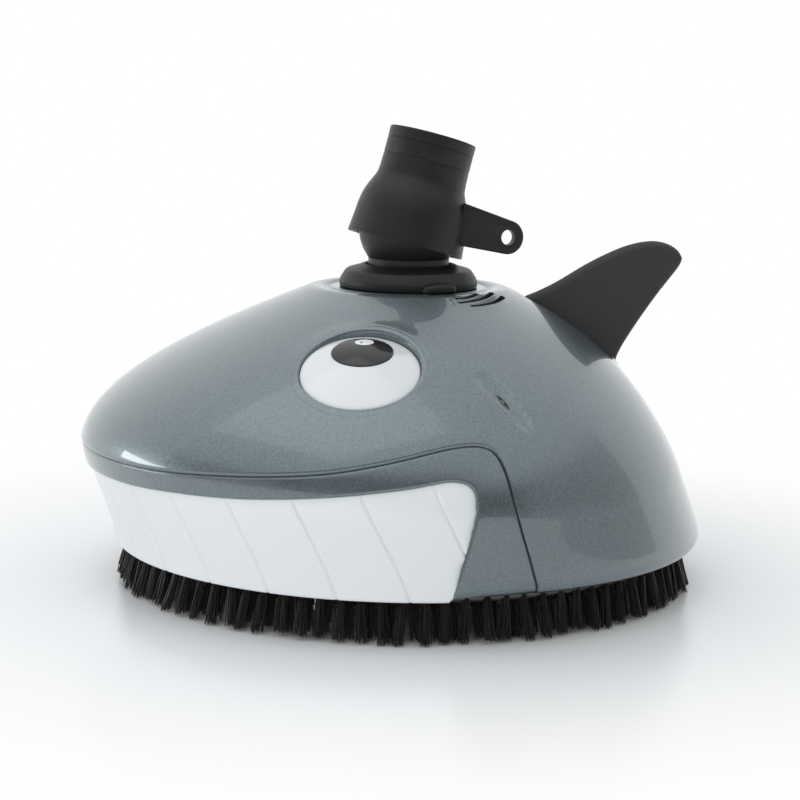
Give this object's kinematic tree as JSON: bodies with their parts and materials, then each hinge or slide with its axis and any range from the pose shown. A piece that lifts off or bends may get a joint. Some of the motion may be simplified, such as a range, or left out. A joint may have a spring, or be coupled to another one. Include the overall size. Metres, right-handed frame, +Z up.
{
  "type": "suction pool cleaner",
  "caption": "Shark-shaped suction pool cleaner: domed shell with teeth, eyes and fin on a bristle ring, ball-and-socket hose neck, and a geared water turbine.",
  "frame": {"origin": "on the floor, on the vertical axis of the neck and the bristle ring", "axes": "-Y towards the nose, +X to the shark's left side, +Z up"},
  "size_m": [0.3052, 0.318, 0.2307],
  "materials": {
    "shell": "metallic blue-grey lacquer, high gloss",
    "teeth": "smooth white",
    "eye_white": "smooth white",
    "pupil": "polished black",
    "fin": "satin black",
    "black_plastic": "satin black",
    "bristle": "black nylon filament",
    "chassis": "dark grey moulded",
    "duct": "grey moulded",
    "gear": "natural acetal",
    "latch": "dark grey moulded",
    "seat": "natural low-friction plastic",
    "steel": "brushed",
    "brass": "turned",
    "iron": "coated cast iron",
    "aluminium": "turned",
    "seal": "moulded rubber"
  },
  "bodies": {
    "housing": {"upper_shell": "shell", "teeth_insert": "teeth", "eye_left": "eye_white", "eye_right": "eye_white", "pupil_left": "pupil", "pupil_right": "pupil", "dorsal_fin": "fin", "fin_screws": "steel", "chassis_pan": "chassis", "bristle_carrier": "black_plastic", "bristle_ring": "bristle", "chassis_screws": "steel", "carrier_screws": "steel", "ballast_weights": "iron", "intake_duct": "duct", "outlet_duct": "duct", "neck_seal": "seal", "lower_spider": "duct", "lower_bush": "brass", "upper_spider": "duct", "upper_bush": "brass", "gear_plate": "chassis", "gear_cover": "chassis", "gear_posts": "aluminium", "gear_spacers": "aluminium", "gear_nuts": "steel", "axle_post": "brass", "neck_bearing": "seat"},
    "neck": {"ball_neck": "black_plastic", "swivel_gear": "gear", "neck_clip": "steel"},
    "seat": {"seat_ring": "seat"},
    "hood": {"hose_hood": "black_plastic", "hood_clip": "steel"},
    "lock": {"lock_ring": "black_plastic"},
    "left_latch": {"latch_left": "latch"},
    "right_latch": {"latch_right": "latch"},
    "turbine": {"turbine_wheel": "gear", "turbine_shaft": "steel"},
    "weight": {"weight_gear": "gear", "weight_pinion": "gear", "eccentric_weight": "brass", "weight_axle": "steel"},
    "idler": {"idler_gear": "gear", "idler_pinion": "gear", "idler_axle": "steel"}
  },
  "joints": [
    {"name": "neck_swivel", "type": "hinge", "parent": "housing", "child": "neck", "pos_m": [0, 0, 0.143], "axis": [0, 0, 1], "continuous": true},
    {"name": "elbow_tilt", "type": "hinge", "parent": "neck", "child": "seat", "pos_m": [0, 0, 0.1788], "axis": [-0.9673, -0.2538, 0], "range_deg": [-34, 3]},
    {"name": "hood_spin", "type": "hinge", "parent": "seat", "child": "hood", "pos_m": [0, 0, 0.1788], "axis": [-0.0682, 0.2601, 0.9632], "continuous": true},
    {"name": "lock_twist", "type": "hinge", "parent": "housing", "child": "lock", "pos_m": [0, 0, 0.152], "axis": [0, 0, 1], "range_deg": [0, 30]},
    {"name": "left_latch_press", "type": "slide", "parent": "housing", "child": "left_latch", "axis": [-0.6046, -0.1976, -0.7716], "range_m": [0, 0.003], "stiffness_N_per_m": 150},
    {"name": "right_latch_press", "type": "slide", "parent": "housing", "child": "right_latch", "axis": [0.6046, -0.1976, -0.7716], "range_m": [0, 0.003], "stiffness_N_per_m": 150},
    {"name": "turbine_spin", "type": "hinge", "parent": "housing", "child": "turbine", "pos_m": [0, 0, 0.055], "axis": [0, 0, 1], "continuous": true},
    {"name": "weight_spin", "type": "hinge", "parent": "housing", "child": "weight", "pos_m": [0.02535, 0.04768, 0.055], "axis": [0, 0, 1], "continuous": true},
    {"name": "idler_spin", "type": "hinge", "parent": "housing", "child": "idler", "pos_m": [-0.00429, 0.05233, 0.095], "axis": [0, 0, 1], "continuous": true}
  ],
  "couplings": [
    {"joint": "turbine_spin", "follows": "neck_swivel", "ratio": -9},
    {"joint": "weight_spin", "follows": "neck_swivel", "ratio": 18},
    {"joint": "idler_spin", "follows": "neck_swivel", "ratio": -6}
  ]
}
